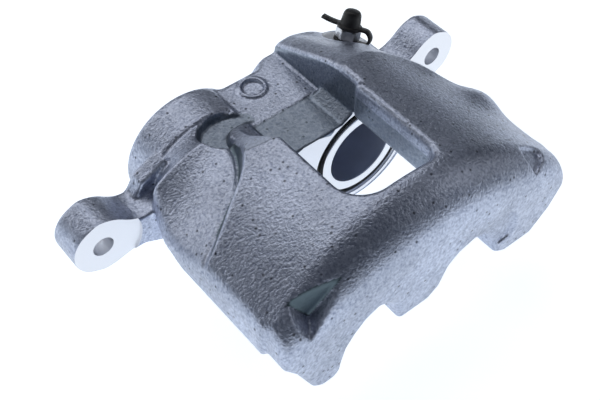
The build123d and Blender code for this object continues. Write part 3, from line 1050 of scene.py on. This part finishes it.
class CALIPER_OT_bleeder(bpy.types.Operator):
    """Bleed screw with its rubber cap and strap"""
    bl_idname = "caliper.bleeder"
    bl_label = "Bleed screw and cap"

    def execute(self, context):
        rubber, zinc = moulded_rubber(), zinc_plated_steel()
        settings = context.scene.caliper_bleed
        width, thickness = settings.strap_width / MM, settings.strap_thickness / MM
        seat, axis = Vector(bleed_seat), Vector(bleed_axis)

        def hexagon(angle):
            folded = (angle + math.pi / 6) % (math.pi / 3) - math.pi / 6
            return HEX_ACROSS_FLATS / 2 / math.cos(folded)

        thread = [(3.9 if step % 2 else 3.35, -10.2 + 0.5 * step) for step in range(20)]
        shank = [(0, -12.2), (1.9, -12.2)] + thread + [(3.6, 0.2), (3.6, 1.8), (0, 1.8)]
        head = [(0, 1.75), (5.3, 1.75), (6.4, 2.2), (6.4, 6.4), (5.35, 7.0), (0, 7.0)]
        nipple = [(0, 6.9), (3.6, 6.9), (3.2, 7.4), (3.2, 11.9), (3.95, 12.0), (2.8, 14.1),
                  (1.4, 14.15), (1.4, 8.0), (0, 8.0)]
        mesh = together("bleed_screw_turned", lathe("shank", shank, seat, axis, sides=48),
                        lathe("head", head, seat, axis, outline=hexagon, sides=96),
                        lathe("nipple", nipple, seat, axis, sides=48))
        mesh.materials.append(zinc)
        link("bleed_screw_turned", mesh, "bleed_screw", "bleed_screw")

        cap = round_corners([(0, 15.0), (4.0, 15.0), (4.0, 7.3), (6.4, 7.3), (6.4, 8.8),
                             (5.15, 9.0), (4.9, 12.0), (4.5, 14.8), (3.6, 16.3), (0, 16.75)],
                            [0.5, 0.3, 0.4, 0.4, 0.4, 1.0, 1.2, 1.6])
        tail = ribbon([(4.6, 8.0), (8.0, 7.9), (11.0, 8.1), (14.7, 8.7)], width, thickness)
        mesh = together("bleed_cap_moulded", lathe("dome", cap, seat, axis, sides=72), tail)
        mesh.materials.append(rubber)
        link("bleed_cap_moulded", mesh, "bleed_cap", "bleed_cap")

        ring = [(4.05, 0.15), (6.2, 0.15), (6.6, 0.45), (6.6, 1.2), (6.2, 1.5), (4.05, 1.5)]
        loop = ribbon([(-5.4, 0.95), (-9.6, 0.95), (-11.8, 3.0), (-11.8, 6.0), (-9.6, 8.5),
                       (-6.0, 8.3)], width, thickness)
        mesh = together("bleed_strap_moulded",
                        lathe("ring", ring, seat, axis, closed=True, sides=72), loop)
        mesh.materials.append(rubber)
        link_between("bleed_strap_moulded", mesh,
                     "bleed_cap_strap")
        return {"FINISHED"}


class CALIPER_OT_seals(bpy.types.Operator):
    """Rubber finish for the square seals inside the bores, which stay as the frame's own nodes"""
    bl_idname = "caliper.seals"
    bl_label = "Seals"

    def execute(self, context):
        rubber = moulded_rubber()
        for side in piston_centre:
            node = frame["nodes"]["piston_seal_" + side]
            node.data.materials.clear()
            node.data.materials.append(rubber)
        return {"FINISHED"}


# ---- the add-on ----

class CALIPER_PT_sidebar(bpy.types.Panel):
    """Sizes, colours and build steps of the caliper"""
    bl_idname = "CALIPER_PT_sidebar"
    bl_label = "Brake Caliper"
    bl_space_type = "VIEW_3D"
    bl_region_type = "UI"
    bl_category = "Caliper"

    def draw(self, context):
        layout = self.layout
        for settings in (context.scene.caliper_casting, context.scene.caliper_bleed,
                         context.scene.caliper_colours):
            box = layout.box()
            for key in settings.__annotations__:
                box.prop(settings, key)
        for operator in OPERATORS:
            layout.operator(operator.bl_idname)


SETTINGS = {"caliper_casting": CastingSettings, "caliper_bleed": BleedSettings,
            "caliper_colours": ColourSettings}
OPERATORS = [CALIPER_OT_housing, CALIPER_OT_pistons, CALIPER_OT_boots, CALIPER_OT_bleeder,
             CALIPER_OT_seals, CALIPER_OT_stage]


def register():
    """Adds the classes and their settings."""
    for cls in [*SETTINGS.values(), *OPERATORS, CALIPER_PT_sidebar]:
        bpy.utils.register_class(cls)
    for name, cls in SETTINGS.items():
        setattr(bpy.types.Scene, name, PointerProperty(type=cls))


def unregister():
    """Removes what register added."""
    for name in SETTINGS:
        delattr(bpy.types.Scene, name)
    for cls in [CALIPER_PT_sidebar, *reversed(OPERATORS), *SETTINGS.values()]:
        bpy.utils.unregister_class(cls)


def main():
    """Builds every piece and the stage."""
    register()
    bpy.ops.caliper.housing()
    bpy.ops.caliper.pistons()
    bpy.ops.caliper.boots()
    bpy.ops.caliper.bleeder()
    bpy.ops.caliper.seals()
    bpy.ops.caliper.stage()


if __name__ == "__main__":
    main()
